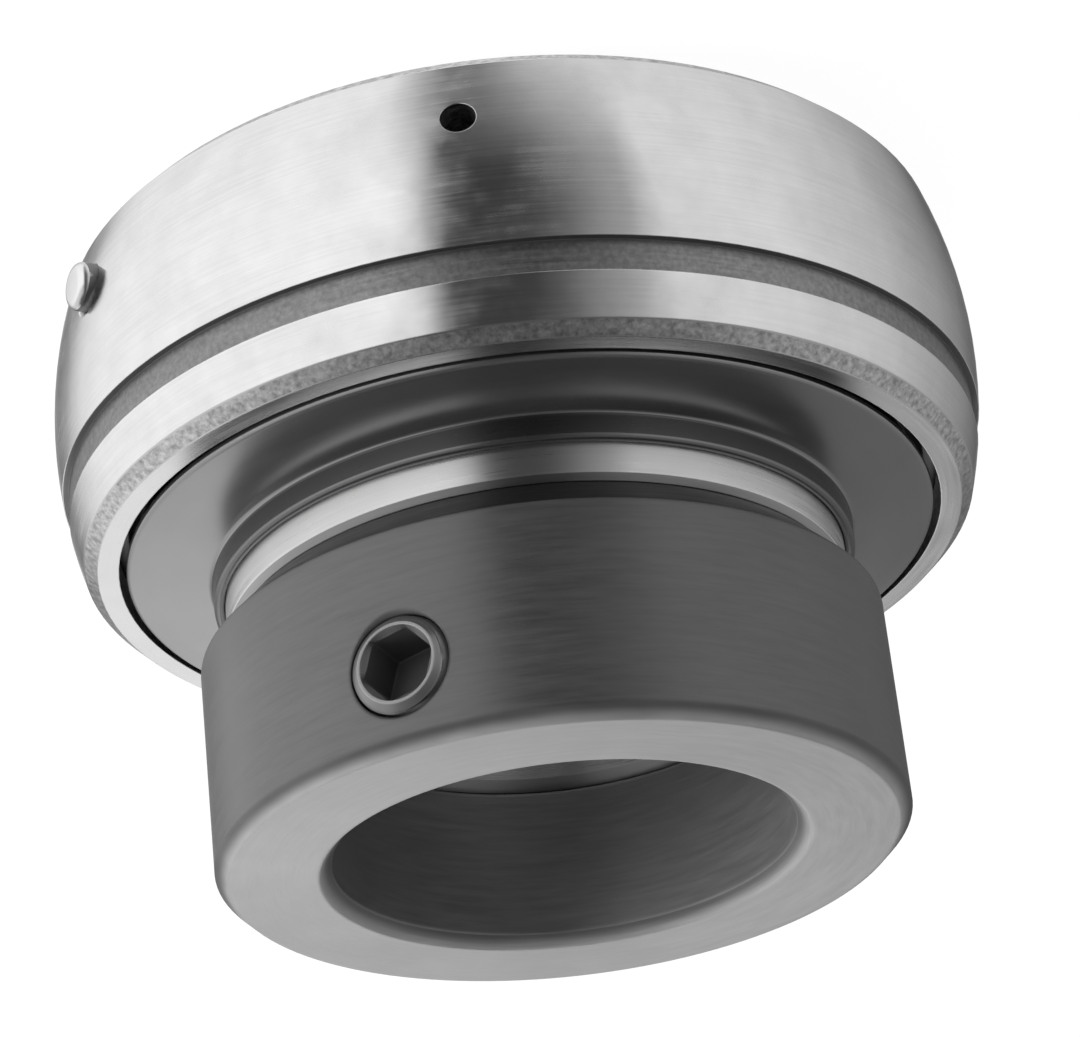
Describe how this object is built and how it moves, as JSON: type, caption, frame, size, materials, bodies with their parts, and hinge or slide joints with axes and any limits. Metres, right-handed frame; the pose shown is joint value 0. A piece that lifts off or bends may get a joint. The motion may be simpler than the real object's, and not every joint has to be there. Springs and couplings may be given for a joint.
{
  "type": "insert bearing",
  "caption": "Ball bearing insert with a spherical outside and an eccentric locking collar, held by a set screw, on its long inner ring.",
  "frame": {"origin": "centre of the ball track on the bearing's axis, which is also the centre of the spherical seat", "axes": "+Z along the bore towards the locking collar; the set screw faces -Y at rest"},
  "size_m": [0.052, 0.052, 0.0355],
  "materials": {
    "ground_bearing_steel": "fine ground, bright",
    "ball_steel": "lapped, mirror bright",
    "pin_steel": "bright, as drawn",
    "black_oxide_steel": "black oxide over fine turning",
    "screw_steel": "black oxide",
    "cage_steel": "pressed, satin",
    "seal_steel": "pressed, satin",
    "flinger_steel": "pressed, dark satin",
    "nitrile_rubber": "moulded, matt"
  },
  "bodies": {
    "outer_race": {"outer_ring": "ground_bearing_steel", "anti_rotation_pin": "pin_steel", "seal_insert_front": "seal_steel", "seal_insert_back": "seal_steel", "seal_lip_front": "nitrile_rubber", "seal_lip_back": "nitrile_rubber"},
    "inner_race": {"inner_ring": "ground_bearing_steel", "flinger": "flinger_steel"},
    "cage": {"cage_front": "cage_steel", "cage_back": "cage_steel", "cage_rivets": "cage_steel"},
    "collar": {"locking_collar": "black_oxide_steel"},
    "screw": {"set_screw": "screw_steel"},
    "ball_1": {"ball_1": "ball_steel"},
    "ball_2": {"ball_2": "ball_steel"},
    "ball_3": {"ball_3": "ball_steel"},
    "ball_4": {"ball_4": "ball_steel"},
    "ball_5": {"ball_5": "ball_steel"},
    "ball_6": {"ball_6": "ball_steel"},
    "ball_7": {"ball_7": "ball_steel"},
    "ball_8": {"ball_8": "ball_steel"},
    "ball_9": {"ball_9": "ball_steel"}
  },
  "joints": [
    {"name": "shaft_spin", "type": "hinge", "parent": "outer_race", "child": "inner_race", "pos_m": [0, 0, 0], "axis": [0, 0, 1], "continuous": true},
    {"name": "cage_spin", "type": "hinge", "parent": "outer_race", "child": "cage", "pos_m": [0, 0, 0], "axis": [0, 0, 1], "continuous": true},
    {"name": "collar_turn", "type": "hinge", "parent": "inner_race", "child": "collar", "pos_m": [0, 0, 0.015], "axis": [0, 0, 1], "range_deg": [-12, 12]},
    {"name": "screw_travel", "type": "slide", "parent": "collar", "child": "screw", "axis": [0, -1, 0], "range_m": [-0.0006, 0.004]},
    {"name": "ball_1_roll", "type": "hinge", "parent": "cage", "child": "ball_1", "pos_m": [0, -0.0195, 0], "axis": [0, 0, 1], "continuous": true},
    {"name": "ball_2_roll", "type": "hinge", "parent": "cage", "child": "ball_2", "pos_m": [0.01253, -0.01494, 0], "axis": [0, 0, 1], "continuous": true},
    {"name": "ball_3_roll", "type": "hinge", "parent": "cage", "child": "ball_3", "pos_m": [0.0192, -0.00339, 0], "axis": [0, 0, 1], "continuous": true},
    {"name": "ball_4_roll", "type": "hinge", "parent": "cage", "child": "ball_4", "pos_m": [0.01689, 0.00975, 0], "axis": [0, 0, 1], "continuous": true},
    {"name": "ball_5_roll", "type": "hinge", "parent": "cage", "child": "ball_5", "pos_m": [0.00667, 0.01832, 0], "axis": [0, 0, 1], "continuous": true},
    {"name": "ball_6_roll", "type": "hinge", "parent": "cage", "child": "ball_6", "pos_m": [-0.00667, 0.01832, 0], "axis": [0, 0, 1], "continuous": true},
    {"name": "ball_7_roll", "type": "hinge", "parent": "cage", "child": "ball_7", "pos_m": [-0.01689, 0.00975, 0], "axis": [0, 0, 1], "continuous": true},
    {"name": "ball_8_roll", "type": "hinge", "parent": "cage", "child": "ball_8", "pos_m": [-0.0192, -0.00339, 0], "axis": [0, 0, 1], "continuous": true},
    {"name": "ball_9_roll", "type": "hinge", "parent": "cage", "child": "ball_9", "pos_m": [-0.01253, -0.01494, 0], "axis": [0, 0, 1], "continuous": true}
  ],
  "couplings": [
    {"joint": "cage_spin", "follows": "shaft_spin", "ratio": 0.39823},
    {"joint": "ball_1_roll", "follows": "shaft_spin", "ratio": -2.3548},
    {"joint": "ball_2_roll", "follows": "shaft_spin", "ratio": -2.3548},
    {"joint": "ball_3_roll", "follows": "shaft_spin", "ratio": -2.3548},
    {"joint": "ball_4_roll", "follows": "shaft_spin", "ratio": -2.3548},
    {"joint": "ball_5_roll", "follows": "shaft_spin", "ratio": -2.3548},
    {"joint": "ball_6_roll", "follows": "shaft_spin", "ratio": -2.3548},
    {"joint": "ball_7_roll", "follows": "shaft_spin", "ratio": -2.3548},
    {"joint": "ball_8_roll", "follows": "shaft_spin", "ratio": -2.3548},
    {"joint": "ball_9_roll", "follows": "shaft_spin", "ratio": -2.3548}
  ]
}
